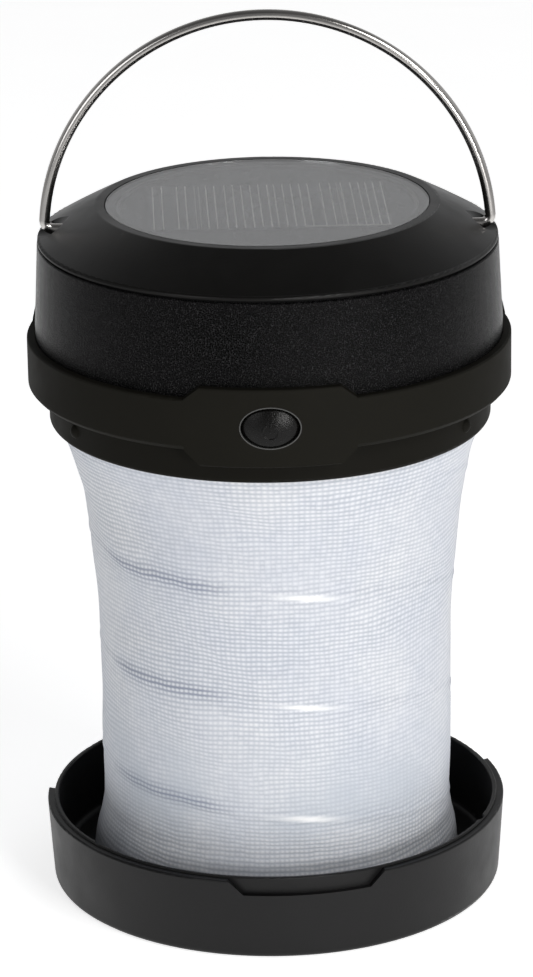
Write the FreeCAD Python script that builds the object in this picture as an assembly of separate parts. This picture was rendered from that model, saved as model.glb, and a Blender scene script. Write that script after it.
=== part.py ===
import FreeCAD, Part
import math
import os

# Collapsible solar lantern.
# Millimetres. Origin: centre of the base tray's underside. +Z up, the power button faces -Y.
# The head (solar panel, battery, lamp) stands on a fabric sleeve held open by a coil spring,
# and pushes down into the base tray, turning a little so that its three tabs drop into the
# tray's three notches.

os.makedirs("parts", exist_ok=True)
V = FreeCAD.Vector
Z = V(0, 0, 1)

# ------------------------------------------------------------------ driving dimensions
TRAVEL = 82.7              # how far the head comes down when folded
TWIST = 7.6                # tray notches stand this many degrees ahead of the ring tabs

# base tray
TRAY_R_BOTTOM = 42.9
TRAY_R_RIM = 43.9
TRAY_SKIN_H = 15.65        # height of the outer skin
TRAY_LIP_H = 16.05         # height of the inner lip
TRAY_LIP_R = 42.6          # outside of the inner lip
TRAY_BORE_R = 41.7         # inside of the inner lip
TRAY_FLOOR = 2.4
TRAY_RECESS_R = 36.5
TRAY_RECESS = 0.7
NOTCH_TOP_HALF = 19.5      # degrees
NOTCH_BOTTOM_HALF = 15.7
NOTCH_Z = 12.9

# fabric sleeve: outer radius by height
SHADE = [(2.6, 35.25), (6, 35.0), (9, 34.6), (12, 33.8), (15, 33.3), (18, 33.2), (24, 33.35),
         (30, 33.4), (38, 33.3), (46, 33.35), (54, 33.5), (60, 33.85), (66, 34.4), (70, 34.75),
         (74, 35.15), (78, 35.7), (82, 36.5), (86, 37.5), (90, 38.8), (92, 39.35), (94.0, 39.45)]
SHADE_T = 0.5
COIL_R = 32.1              # centreline of the coil spring
COIL_WIRE = 0.5            # wire radius
COIL_PITCH = 22.0
COIL_Z0 = 5.8
COIL_Z1 = 92.3
HOOP_R = 38.2
HOOP_WIRE = 0.5

# head
COLLAR_R = 41.2
COLLAR_T = 1.4
COLLAR_Z = 92.2
FLANGE_Z = 100.4
BARREL_Z0 = 101.4
BARREL_Z1 = 126.2
BARREL_R0 = 43.4
BARREL_R1 = 42.6
BARREL_WALL = 1.8
RING_R = 45.0
RING_BORE = 43.5
RING_Z0 = 99.05
RING_Z1 = 108.6
TAB_Z0 = 96.4
TAB_Z1 = 111.0
TAB_HALF = 20.0            # degrees at the ring's edges
TAB_TIP_HALF = 16.2        # degrees at the tab's top and bottom edge
COVER_R = 42.5
COVER_Z0 = 126.5
COVER_LIP = 127.25
RIM_R = 31.7
RIM_Z = 133.0
WINDOW_R = 29.95
WINDOW_T = 1.2
WINDOW_Z = 132.9
CELL_W, CELL_D, CELL_T = 44.0, 30.0, 0.3
CELL_TURN = 2.0

# handle
WIRE_R = 1.0
BAIL_R = 41.2
BAIL_CZ = 126.8            # centre of the bail's arc
PIVOT_Z = 128.25
PIVOT_BEND = 1.7
PIN_IN = 34.6              # inner end of each pivot pin
PIVOT_HOLE = 1.06
HOLLOW_FLOOR = 127.02

# power button
BTN_Z = 103.9
BTN_A, BTN_B = 5.2, 3.58   # half width, half height
BTN_DOME_R = 9.5
BEZEL_GAP = 0.15
BEZEL_T = 0.2

# charging port, in the right rear tab
PORT_AZ = 120.0
PORT_Z = 104.0


# ------------------------------------------------------------------ helpers
def rounded(points, close=True):
    """Wire in the XZ plane through (r, z[, corner radius]) points, corners as tangent arcs."""
    pts = [(p[0], p[1], p[2] if len(p) > 2 else 0.0) for p in points]
    n = len(pts)
    corners = []
    for i in range(n):
        r, z, rad = pts[i]
        p = V(r, 0, z)
        if rad <= 0:
            corners.append((p, None, p))
            continue
        a = V(pts[i - 1][0], 0, pts[i - 1][1]) - p
        b = V(pts[(i + 1) % n][0], 0, pts[(i + 1) % n][1]) - p
        a.normalize()
        b.normalize()
        half = a.getAngle(b) / 2
        t = rad / math.tan(half)
        bis = a + b
        bis.normalize()
        mid = p + bis * (rad / math.sin(half) - rad)
        corners.append((p + a * t, mid, p + b * t))
    edges = []
    for i in range(n):
        s, m, e = corners[i]
        if m is not None:
            edges.append(Part.Arc(s, m, e).toShape())
        nxt = corners[(i + 1) % n][0]
        if (nxt - e).Length > 1e-6 and (close or i < n - 1):
            edges.append(Part.LineSegment(e, nxt).toShape())
    return Part.Wire(edges)


def rev(points, angle=360.0):
    return Part.Face(rounded(points)).revolve(V(0, 0, 0), Z, angle)


def tube_ring(r0, r1, z0, z1):
    return rev([(r0, z0), (r1, z0), (r1, z1), (r0, z1)])


def turned(shape, deg, about=V(0, 0, 0), axis=Z):
    s = shape.copy()
    s.rotate(about, axis, deg)
    return s


def prism_y(points, y0, y1):
    """Prism along Y through (x, z) points."""
    w = Part.makePolygon([V(x, y0, z) for x, z in points] + [V(points[0][0], y0, points[0][1])])
    return Part.Face(w).extrude(V(0, y1 - y0, 0))


def ellipse_y(a, b, z, y0, y1):
    """Elliptical cylinder along Y, half width a, half height b."""
    e = Part.Ellipse(V(a, y0, z), V(0, y0, z + b), V(0, y0, z))
    return Part.Face(Part.Wire([e.toShape()])).extrude(V(0, y1 - y0, 0))


def box(x0, x1, y0, y1, z0, z1):
    return Part.makeBox(x1 - x0, y1 - y0, z1 - z0, V(x0, y0, z0))


def path(points, bend):
    """Straight runs joined by tangent arcs."""
    pts = [V(*p) for p in points]
    edges = []
    at = pts[0]
    for i in range(1, len(pts) - 1):
        p = pts[i]
        a = (pts[i - 1] - p)
        b = (pts[i + 1] - p)
        a.normalize()
        b.normalize()
        half = a.getAngle(b) / 2
        t = bend / math.tan(half)
        bis = a + b
        bis.normalize()
        s, e = p + a * t, p + b * t
        m = p + bis * (bend / math.sin(half) - bend)
        if (s - at).Length > 1e-6:
            edges.append(Part.LineSegment(at, s).toShape())
        edges.append(Part.Arc(s, m, e).toShape())
        at = e
    edges.append(Part.LineSegment(at, pts[-1]).toShape())
    return Part.Wire(edges)


def sweep(wire, start, direction, r):
    c = Part.Wire([Part.makeCircle(r, start, direction)])
    s = wire.makePipeShell([c], True, True)
    return s


def screw(x, y, z, head_r, head_h, shank_r, shank_l, up=True):
    """Pan head at z, shank running up (or down) from it, with a cross recess in the head."""
    d = 1 if up else -1
    head = Part.makeCylinder(head_r, head_h, V(x, y, z), V(0, 0, -d))
    edge = [e for e in head.Edges if abs(e.BoundBox.ZMin - (z - d * head_h)) < 1e-6
            and abs(e.BoundBox.ZMax - (z - d * head_h)) < 1e-6 and e.Length > 1]
    head = head.makeFillet(min(0.45 * head_h, 0.6), edge[:1])
    shank = Part.makeCylinder(shank_r, shank_l, V(x, y, z), V(0, 0, d))
    s = head.fuse(shank)
    w = head_r * 0.22
    zc = z - d * head_h
    for a in (0, 90):
        c = box(-head_r * 0.62, head_r * 0.62, -w, w, -0.01, head_h * 0.55)
        if d < 0:
            c.translate(V(0, 0, -head_h * 0.55 + 0.01))
        c.rotate(V(0, 0, 0), Z, a)
        c.translate(V(x, y, zc))
        s = s.cut(c)
    return s.removeSplitter()


def polar(r, az, z=0.0):
    """Azimuth from the front (-Y) towards +X."""
    a = math.radians(az)
    return V(r * math.sin(a), -r * math.cos(a), z)


def export(name, shape):
    solids = shape.Solids
    if not solids:
        raise RuntimeError(name + " has no solid")
    out = solids[0] if len(solids) == 1 else Part.makeCompound(solids)
    bad = [i for i, s in enumerate(solids) if not s.isValid() or s.Volume <= 0]
    bb = out.optimalBoundingBox()
    print("%-20s solids %2d vol %9.1f  z %7.2f..%7.2f  r<=%6.2f %s" % (
        name, len(solids), sum(s.Volume for s in solids), bb.ZMin, bb.ZMax,
        max(abs(bb.XMin), bb.XMax, abs(bb.YMin), bb.YMax), "BAD" if bad else ""))
    out.exportStep("parts/%s.step" % name)
    return out


# ------------------------------------------------------------------ base
# Tray: outer skin with a slight draft, inner lip a little taller, shallow recess underneath.
tray = rev([(0, TRAY_RECESS), (TRAY_RECESS_R, TRAY_RECESS, 0.3), (TRAY_RECESS_R, 0, 0.0),
            (TRAY_R_BOTTOM, 0, 1.1), (43.3, 6.0, 8.0), (TRAY_R_RIM, TRAY_SKIN_H, 0.35),
            (TRAY_LIP_R, TRAY_SKIN_H, 0.0), (TRAY_LIP_R, TRAY_LIP_H, 0.25),
            (TRAY_BORE_R, TRAY_LIP_H, 0.3), (TRAY_BORE_R, TRAY_FLOOR, 1.2), (0, TRAY_FLOOR)])
r_cut = TRAY_R_RIM
notch = prism_y([(-r_cut * math.sin(math.radians(NOTCH_BOTTOM_HALF)), NOTCH_Z),
                 (r_cut * math.sin(math.radians(NOTCH_BOTTOM_HALF)), NOTCH_Z),
                 (r_cut * math.sin(math.radians(NOTCH_TOP_HALF)), TRAY_SKIN_H),
                 (r_cut * math.sin(math.radians(NOTCH_TOP_HALF)) + 1.4, TRAY_SKIN_H + 1.4),
                 (-r_cut * math.sin(math.radians(NOTCH_TOP_HALF)) - 1.4, TRAY_SKIN_H + 1.4),
                 (-r_cut * math.sin(math.radians(NOTCH_TOP_HALF)), TRAY_SKIN_H)], -50, -30)
notch = notch.common(tube_ring(TRAY_LIP_R, 50, 10, 20))
for k in (0, 120, 240):
    tray = tray.cut(turned(notch, k + TWIST))
# channels in the lip that take the collar's three snap lugs
for k in (60, 180, 300):
    c = Part.makeCylinder(2.1, TRAY_LIP_H - 10.5 + 1, polar(40.4, 0, 10.5))
    tray = tray.cut(turned(c, k + TWIST))
# holes and counterbores for the clamp ring's screws
SCREW_R = 32.5
for k in (30, 150, 270):
    p = polar(SCREW_R, k + TWIST)
    tray = tray.cut(Part.makeCylinder(1.25, 4, V(p.x, p.y, 0)))
    tray = tray.cut(Part.makeCylinder(2.3, 0.95, V(p.x, p.y, TRAY_RECESS - 0.5)))
tray = tray.removeSplitter()
export("base_tray", tray)

# Ring that clamps the sleeve's lower hem to the tray floor; also the spring's lower seat.
clamp = rev([(30.4, TRAY_FLOOR), (34.4, TRAY_FLOOR), (34.4, 4.9, 0.5), (30.4, 4.9, 0.5)])
for k in (30, 150, 270):
    p = polar(SCREW_R, k + TWIST)
    clamp = clamp.cut(Part.makeCylinder(0.85, 2.1, V(p.x, p.y, TRAY_FLOOR - 0.1)))
export("lower_clamp_ring", clamp)

# Screws from below, through the floor into the clamp ring.
ss = []
for k in (30, 150, 270):
    p = polar(SCREW_R, k + TWIST)
    ss.append(screw(p.x, p.y, TRAY_RECESS + 0.44, 2.0, 0.9, 0.84, 3.0, up=True))
export("base_screws", Part.makeCompound(ss))

# White sheet on the tray floor that throws the light back up.
refl = rev([(0, TRAY_FLOOR), (30.1, TRAY_FLOOR), (30.1, TRAY_FLOOR + 0.4), (0, TRAY_FLOOR + 0.4)])
export("base_reflector", refl)

# Fabric sleeve: thin closed shell, true outer shape.
outer = [V(r, 0, z) for z, r in SHADE]
inner = [V(r - SHADE_T, 0, z) for z, r in reversed(SHADE)]


def spline(points):
    c = Part.BSplineCurve()
    c.interpolate(points)
    return c.toShape()


w = Part.Wire([spline(outer), Part.LineSegment(outer[-1], inner[0]).toShape(),
               spline(inner), Part.LineSegment(inner[-1], outer[0]).toShape()])
sleeve = Part.Face(w).revolve(V(0, 0, 0), Z, 360)
export("fabric_shade", sleeve)

# Coil spring inside the sleeve. It climbs clockwise seen from above. It is a ruled loft
# through twelve-sided sections of the wire, whose area is that of the round wire.
COIL_STEPS = 20            # sections to a turn
COIL_SIDES = 12


def coil_section(t):
    """Section of the wire t turns up the coil, square to the helix."""
    a = -2 * math.pi * t
    radial = V(math.cos(a), math.sin(a), 0)
    along = V(2 * math.pi * COIL_R * math.sin(a), -2 * math.pi * COIL_R * math.cos(a), COIL_PITCH)
    along.normalize()
    across = along.cross(radial)
    across.normalize()
    normal = across.cross(along)
    step = 2 * math.pi / COIL_SIDES
    r = COIL_WIRE * math.sqrt(math.pi / (0.5 * COIL_SIDES * math.sin(step)))
    c = radial * COIL_R + V(0, 0, COIL_PITCH * t)
    ring = [c + normal * (r * math.cos(k * step)) + across * (r * math.sin(k * step))
            for k in range(COIL_SIDES)]
    return Part.makePolygon(ring + [ring[0]])


turns = (COIL_Z1 - COIL_Z0) / COIL_PITCH
count = int(round(turns * COIL_STEPS))
coil = Part.makeLoft([coil_section(turns * i / count) for i in range(count + 1)], True, True)
# turn it so that it crosses the front at z = 24, 46, 68 and 90
front = (24.0 - COIL_Z0) / COIL_PITCH * 360.0
coil.rotate(V(0, 0, 0), Z, -90 + front)
coil.translate(V(0, 0, COIL_Z0))
print("coil volume %.1f, wire length times section %.1f" % (
    coil.Volume, math.pi * COIL_WIRE ** 2 * turns * math.hypot(2 * math.pi * COIL_R, COIL_PITCH)))
export("coil_spring", coil)

# ------------------------------------------------------------------ sleeve's upper hem
hoop = Part.makeTorus(HOOP_R, HOOP_WIRE, V(0, 0, 93.2), Z)
export("upper_hoop", hoop)

# ------------------------------------------------------------------ head
# Lower collar: plain tube that drops into the tray, with a flange hidden behind the ring.
ci = COLLAR_R - COLLAR_T
collar = rev([(ci, COLLAR_Z, 0.3), (COLLAR_R, COLLAR_Z, 0.8), (COLLAR_R, FLANGE_Z),
              (BARREL_R0 - 0.1, FLANGE_Z, 0.2), (BARREL_R0 - 0.1, BARREL_Z0), (ci, BARREL_Z0)])
# inner shoulder that the lamp plate and hem clamp screw against
shoulder = tube_ring(38.6, ci + 0.2, 98.3, 99.5)
collar = collar.fuse(shoulder)
for k in (60, 180, 300):
    b = Part.makeSphere(1.5)
    b.translate(V(0, -(COLLAR_R - 0.72), 95.7))
    b = b.common(box(-3, 3, -50, -COLLAR_R + 0.4, 90, 100))
    collar = collar.fuse(turned(b, k))
collar = collar.cut(box(-7.3, 7.3, -46, -38, 98.9, 102))
collar = collar.removeSplitter()
export("lower_collar", collar)

# Ring that clamps the hem's hoop under the lamp plate.
uclamp = rev([(33.8, 94.4, 0.3), (39.4, 94.4, 0.3), (39.4, 96.7), (33.8, 96.7)])

# White plate that closes the head and reflects the light down.
PLATE_SCREW_R = 36.6
plate = rev([(31.4, 96.7), (39.7, 96.7), (39.7, 98.2), (31.4, 98.2)])
for k in (0, 120, 240):
    p = polar(PLATE_SCREW_R, k + 60)
    plate = plate.cut(Part.makeCylinder(1.15, 3, V(p.x, p.y, 96)))
    uclamp = uclamp.cut(Part.makeCylinder(1.15, 3, V(p.x, p.y, 94)))
    uclamp = uclamp.cut(Part.makeCylinder(2.2, 1.1, V(p.x, p.y, 94.3)))
export("upper_clamp_ring", uclamp)
export("lamp_plate", plate)

# Frosted lens over the light sources.
lens = rev([(0, 93.6), (24.0, 94.4, 20), (31.1, 95.4, 1.0), (31.1, 98.25), (33.4, 98.25), (33.4, 98.9),
            (29.9, 98.9), (29.9, 96.5, 1.0), (24.0, 95.6, 20), (0, 94.9)])
export("lamp_lens", lens)

# Aluminium board with the light sources on its underside.
ledb = rev([(0, 98.9), (33.4, 98.9), (33.4, 100.3), (0, 100.3)])
ledb = ledb.cut(Part.makeCylinder(1.6, 4, V(0, 9, 98)))
lb = []
LED_SCREW_R = 31.6
for k in (0, 120, 240):
    p = polar(LED_SCREW_R, k)
    ledb = ledb.cut(Part.makeCylinder(0.7, 4, V(p.x, p.y, 98)))
export("led_board", ledb)
leds = []
for k in range(6):
    b = box(-1.5, 1.5, -1.5, 1.5, 97.9, 98.9)
    b = b.makeChamfer(0.15, [e for e in b.Edges if abs(e.BoundBox.ZMax - 97.9) < 1e-6])
    b.translate(V(0, -16, 0))
    leds.append(turned(b, 60 * k + 30))
export("leds", Part.makeCompound(leds))

# Barrel housing: slightly conical wall with a ledge for the main board and three screw bosses.
bi0, bi1 = BARREL_R0 - BARREL_WALL, BARREL_R1 - BARREL_WALL
barrel = rev([(bi0, BARREL_Z0), (BARREL_R0, BARREL_Z0), (BARREL_R0, 111.0), (BARREL_R1, BARREL_Z1, 0.3),
              (bi1, BARREL_Z1), (41.4, 112.4), (39.0, 112.4), (39.0, 111.0), (bi0, 109.4)])
for k in (0, 120, 240):
    boss = Part.makeCylinder(2.5, 111.0 - BARREL_Z0, polar(PLATE_SCREW_R, k + 60, BARREL_Z0))
    rib = box(-0.8, 0.8, -bi0 - 0.4, -PLATE_SCREW_R, BARREL_Z0, 111.0)
    foot = Part.makeCylinder(2.5, BARREL_Z0 - 99.5, polar(PLATE_SCREW_R, k + 60, 99.5))
    barrel = barrel.fuse([boss, turned(rib, k + 60), foot])
    barrel = barrel.cut(Part.makeCylinder(0.9, 9.0, polar(PLATE_SCREW_R, k + 60, 99.4)))
ea, eb = BTN_A + BEZEL_GAP, BTN_B + BEZEL_GAP
barrel = barrel.cut(ellipse_y(ea, eb, BTN_Z, -46, -38))
port_hole = box(-5.0, 5.0, -46, -38, PORT_Z - 2.3, PORT_Z + 2.3)
barrel = barrel.cut(turned(port_hole, PORT_AZ))
barrel = barrel.removeSplitter()
export("barrel_housing", barrel)

# Control ring: band round the barrel's foot with three six-sided tabs.
ring = rev([(RING_BORE, RING_Z0), (44.3, RING_Z0, 0.2), (RING_R, RING_Z0 + 0.8, 0.5),
            (RING_R, RING_Z1, 0.4), (RING_BORE, RING_Z1)])
sx = RING_R * math.sin(math.radians(TAB_HALF))
tx = RING_R * math.sin(math.radians(TAB_TIP_HALF))
skin = rev([(RING_BORE, TAB_Z0), (RING_R, TAB_Z0, 0.45), (RING_R, TAB_Z1, 0.4), (RING_BORE, TAB_Z1)])
tab = prism_y([(-tx, TAB_Z0), (tx, TAB_Z0), (sx, RING_Z0), (sx, RING_Z1), (tx, TAB_Z1),
               (-tx, TAB_Z1), (-sx, RING_Z1), (-sx, RING_Z0)], -48, -30).common(skin)
for k in (0, 120, 240):
    ring = ring.fuse(turned(tab, k))
ring = ring.cut(ellipse_y(ea + BEZEL_T, eb + BEZEL_T, BTN_Z, -50, -38))
# seat and hole of the charging port
FLAP_HALF = 8.6            # degrees
FLAP_H = 3.3
FLAP_IN = 44.1
seat = prism_y([(-RING_R * math.sin(math.radians(FLAP_HALF + 0.35)), PORT_Z - FLAP_H - 0.25),
                (RING_R * math.sin(math.radians(FLAP_HALF + 0.35)), PORT_Z - FLAP_H - 0.25),
                (RING_R * math.sin(math.radians(FLAP_HALF + 0.35)), PORT_Z + FLAP_H + 0.25),
                (-RING_R * math.sin(math.radians(FLAP_HALF + 0.35)), PORT_Z + FLAP_H + 0.25)], -50, -30)
ring = ring.cut(turned(seat.common(tube_ring(FLAP_IN - 0.1, 50, 90, 120)), PORT_AZ))
ring = ring.cut(turned(port_hole, PORT_AZ))
ring = ring.removeSplitter()
export("control_ring", ring)

# Thin oval bezel round the power button, a hair proud of the tab.
bz = ellipse_y(ea + BEZEL_T, eb + BEZEL_T, BTN_Z, -50, -38).cut(ellipse_y(ea, eb, BTN_Z, -51, -37))
bz = bz.common(rev([(RING_BORE, 95), (RING_R + 0.1, 95), (RING_R + 0.1, 115), (RING_BORE, 115)]))
export("button_bezel", bz)

# Power button: oval cap with a domed face and a retaining flange behind the barrel wall.
cap = ellipse_y(BTN_A, BTN_B, BTN_Z, -46.5, -40.8)
ball = Part.makeSphere(BTN_DOME_R, V(0, -45.9 + BTN_DOME_R, BTN_Z))
cap = cap.common(ball)
flange = ellipse_y(BTN_A + 1.1, BTN_B + 0.9, BTN_Z, -40.9, -40.2)
stem = Part.makeCylinder(1.4, 0.3, V(0, -40.2, BTN_Z), V(0, 1, 0))
button = cap.fuse([flange, stem]).removeSplitter()
export("power_button", button)

# Switch behind the button, on its small upright board.
sw = box(-3, 3, -38.6, -35.6, BTN_Z - 2.6, BTN_Z + 2.6)
sw = sw.makeFillet(0.4, [e for e in sw.Edges if abs(e.BoundBox.YLength - 3.0) < 1e-6])
sw = sw.fuse(Part.makeCylinder(1.3, 0.4, V(0, -39.0, BTN_Z), V(0, 1, 0)))
export("tact_switch", sw)
sb = box(-9, 9, -35.6, -34.4, 101.6, 112.4)
export("switch_board", sb)

# Main board with its parts, on the barrel's ledge.
board = Part.makeCylinder(40.2, 1.6, V(0, 0, 112.4))
bs = []
for k in (0, 120, 240):
    p = polar(39.6 - 1.9, k + 15)
    board = board.cut(Part.makeCylinder(0.9, 3, V(p.x, p.y, 112)))
board = board.cut(Part.makeCylinder(1.8, 4, V(0, 27, 111)))
export("main_board", board)
comps = [box(-30.5, -26.5, -8, -4, 114.0, 115.5), box(-32, -27, 4, 9, 114.0, 115.2),
         Part.makeCylinder(2.5, 6.0, V(29.5, 8.0, 114.0)), box(26.5, 32.5, -10, -4, 114.0, 116.8),
         box(-6, 6, -27, -21, 114.0, 116.4), box(-16, -12, -25, -22, 114.0, 115.0),
         box(11, 17, -26, -21, 114.0, 115.6)]
export("board_components", Part.makeCompound(comps))

# Flat rechargeable cell on a foam pad.
pad = box(-23, 23, -15.5, 15.5, 114.0, 115.0)
export("battery_pad", pad)
cell = box(-24.5, 24.5, -17, 17, 115.0, 122.4)
cell = cell.makeFillet(1.6, [e for e in cell.Edges if abs(e.BoundBox.XLength - 49) < 1e-6])
cell = cell.makeFillet(0.5, [e for e in cell.Edges if e.BoundBox.XLength < 1e-6 and e.Length > 5])
export("battery", cell)

# Leads: two from the panel to the main board, two from the main board to the lamp board.
sl = []
for x in (-3.0, 0.6):
    pts = [(x, 20.5, 129.3), (x, 20.5, 125.6), (x - 2.5, 23.2, 121.0), (x, 21.8, 117.2), (x, 21.8, 114.0)]
    sl.append(sweep(path(pts, 3.0), V(*pts[0]), V(0, 0, -1), 0.55))
export("panel_leads", Part.makeCompound(sl))
ll = []
for x in (-0.75, 0.75):
    pts = [(x, 27, 114.6), (x, 27, 109.5), (x, 18.0, 104.6), (x, 9, 100.9)]
    pts = [(x, 27, 114.6), (x, 27, 108.6), (x, 9, 105.2), (x, 9, 100.3)]
    ll.append(sweep(path(pts, 2.6), V(*pts[0]), V(0, 0, -1), 0.55))
export("lamp_leads", Part.makeCompound(ll))

# Screws inside the head.
ss = []
for k in (0, 120, 240):
    p = polar(PLATE_SCREW_R, k + 60)
    ss.append(screw(p.x, p.y, 95.4, 2.0, 1.0, 0.88, 11.0, up=True))
export("plate_screws", Part.makeCompound(ss))
ss = []
for k in (0, 120, 240):
    p = polar(39.6 - 1.9, k + 15)
    ss.append(screw(p.x, p.y, 114.0, 1.6, 1.0, 0.85, 1.6, up=False))
export("board_screws", Part.makeCompound(ss))

# Charging socket in the right rear tab, on its own small board.
sock = box(-3.8, 3.8, -42.6, -37.6, PORT_Z - 1.4, PORT_Z + 1.4)
sock = sock.makeFillet(0.5, [e for e in sock.Edges if abs(e.BoundBox.YLength - 5.0) < 1e-6])
sock = sock.cut(box(-3.4, 3.4, -43, -38.6, PORT_Z - 1.05, PORT_Z + 1.05))
sock = sock.fuse(box(-2.6, 2.6, -42.0, -38.4, PORT_Z - 0.35, PORT_Z + 0.35))
export("charging_socket", turned(sock, PORT_AZ))
pb = box(-8, 8, -37.6, -36.4, 101.6, 112.4)
export("port_board", turned(pb, PORT_AZ))

# Rubber cover of the charging port, hinged along its left edge.
fx = RING_R * math.sin(math.radians(FLAP_HALF))
flap = prism_y([(-fx, PORT_Z - FLAP_H), (fx, PORT_Z - FLAP_H), (fx, PORT_Z + FLAP_H),
                (-fx, PORT_Z + FLAP_H)], -50, -30)
flap = flap.common(tube_ring(FLAP_IN + 0.05, RING_R + 0.15, 90, 120))
vert = [e for e in flap.Edges if e.BoundBox.ZLength < 1e-6 and e.BoundBox.XLength < 1.4]
flap = flap.makeFillet(0.5, vert)
plug = box(-3.0, 3.6, -44.4, -43.0, PORT_Z - 1.5, PORT_Z + 1.5)
plug = plug.makeFillet(0.4, [e for e in plug.Edges if abs(e.BoundBox.YLength - 1.4) < 1e-6])
pull = box(fx - 2.0, fx - 1.2, -45.3, -44.6, PORT_Z - 1.8, PORT_Z + 1.8)
flap = flap.fuse([plug, pull]).removeSplitter()
export("port_cover", turned(flap, PORT_AZ))

# Seam seal between barrel and top cover.
seal = tube_ring(40.9, 42.1, BARREL_Z1, COVER_Z0)
export("seam_seal", seal)

# Top cover: short upright lip, gently crowned slope, flat rim round the window.
mid = V((COVER_R - 0.45 + RIM_R + 0.2) / 2 + 0.06, 0, (COVER_LIP + RIM_Z + 0.05) / 2 + 0.11)


def cover_profile():
    e = []
    A = V(COVER_R, 0, COVER_Z0 + 0.15)
    e.append(Part.LineSegment(V(COVER_R - 0.15, 0, COVER_Z0), A).toShape())
    B = V(COVER_R, 0, COVER_LIP - 0.35)
    e.append(Part.LineSegment(A, B).toShape())
    C = V(COVER_R - 0.45, 0, COVER_LIP + 0.15)
    e.append(Part.Arc(B, V(COVER_R - 0.13, 0, COVER_LIP - 0.03), C).toShape())
    D = V(RIM_R + 0.2, 0, RIM_Z - 0.1)
    e.append(Part.Arc(C, mid, D).toShape())
    E = V(RIM_R - 0.35, 0, RIM_Z)
    e.append(Part.Arc(D, V(RIM_R - 0.05, 0, RIM_Z - 0.015), E).toShape())
    pts = [E, V(WINDOW_R + 0.05, 0, RIM_Z), V(WINDOW_R + 0.05, 0, WINDOW_Z - WINDOW_T - 0.4),
           V(27.3, 0, WINDOW_Z - WINDOW_T - 0.4), V(27.3, 0, 129.9), V(24.6, 0, 129.9), V(24.6, 0, 128.7),
           V(28.2, 0, 128.7), V(32.4, 0, 131.2), V(39.6, 0, 127.2), V(40.6, 0, COVER_Z0), V(COVER_R - 0.15, 0, COVER_Z0)]
    for a, b in zip(pts, pts[1:]):
        e.append(Part.LineSegment(a, b).toShape())
    return Part.Wire(e)


cover = Part.Face(cover_profile()).revolve(V(0, 0, 0), Z, 360)
outer_form = Part.Face(Part.Wire([
    Part.LineSegment(V(0, 0, COVER_Z0), V(COVER_R - 0.6, 0, COVER_Z0)).toShape(),
    Part.LineSegment(V(COVER_R - 0.6, 0, COVER_Z0), V(COVER_R - 0.6, 0, COVER_LIP)).toShape(),
    Part.LineSegment(V(COVER_R - 0.6, 0, COVER_LIP), V(RIM_R, 0, RIM_Z - 0.6)).toShape(),
    Part.LineSegment(V(RIM_R, 0, RIM_Z - 0.6), V(0, 0, RIM_Z - 0.6)).toShape(),
    Part.LineSegment(V(0, 0, RIM_Z - 0.6), V(0, 0, COVER_Z0)).toShape()])).revolve(V(0, 0, 0), Z, 360)
for s in (-1, 1):
    b = box(33.2, 41.9, -3.4, 3.4, COVER_Z0, 130.8)
    if s < 0:
        b = turned(b, 180)
    cover = cover.fuse(b.common(outer_form))
# smooth hollows round the handle's feet, and its pivot bores
hollow_z = 135.0
hollow_pts = [V(34.4, 0, 131.85), V(35.6, 0, 131.2), V(36.6, 0, 130.45), V(37.5, 0, 129.5), V(38.2, 0, 128.6),
              V(38.8, 0, 127.9), V(39.4, 0, 127.3), V(40.1, 0, HOLLOW_FLOOR)]
spl = Part.BSplineCurve()
spl.interpolate(Points=hollow_pts, InitialTangent=V(1, 0, -0.54), FinalTangent=V(1, 0, 0))
hollow_wire = Part.Wire([
    spl.toShape(),
    Part.LineSegment(hollow_pts[-1], V(46, 0, HOLLOW_FLOOR)).toShape(),
    Part.LineSegment(V(46, 0, HOLLOW_FLOOR), V(46, 0, hollow_z)).toShape(),
    Part.LineSegment(V(46, 0, hollow_z), V(34.4, 0, hollow_z)).toShape(),
    Part.LineSegment(V(34.4, 0, hollow_z), hollow_pts[0]).toShape()])
hollow = Part.Face(hollow_wire).revolve(V(0, 0, hollow_z), V(1, 0, 0), 360)
if hollow.Volume < 0:
    hollow.reverse()
for s in (-1, 1):
    tool = hollow if s > 0 else turned(hollow, 180)
    cover = cover.cut(tool)
    hole = Part.makeCylinder(PIVOT_HOLE, 8, V(s * (PIN_IN - 0.3), 0, PIVOT_Z), V(s, 0, 0))
    cover = cover.cut(hole)
cover = cover.removeSplitter()
export("top_cover", cover)

# Window, its gasket, and the solar cell on its board.
gasket = tube_ring(27.9, WINDOW_R, WINDOW_Z - WINDOW_T - 0.4, WINDOW_Z - WINDOW_T)
export("window_gasket", gasket)
window = rev([(0, WINDOW_Z - WINDOW_T), (WINDOW_R, WINDOW_Z - WINDOW_T), (WINDOW_R, WINDOW_Z, 0.15), (0, WINDOW_Z)])
export("solar_window", window)
sboard = Part.makeCylinder(27.1, 1.0, V(0, 0, 129.9))
export("solar_board", sboard)
cell = box(-CELL_W / 2, CELL_W / 2, -CELL_D / 2, CELL_D / 2, 130.9, 130.9 + CELL_T)
cell.rotate(V(0, 0, 0), Z, CELL_TURN)
export("solar_cell", cell)

# ------------------------------------------------------------------ handle
# Round wire bail: one arc, bent in at each end to a pivot pin.
a0 = math.asin((PIVOT_Z + PIVOT_BEND - BAIL_CZ) / BAIL_R)
xe = BAIL_R * math.cos(a0)
ze = BAIL_CZ + BAIL_R * math.sin(a0)
cx, cz = xe - PIVOT_BEND, ze


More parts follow.
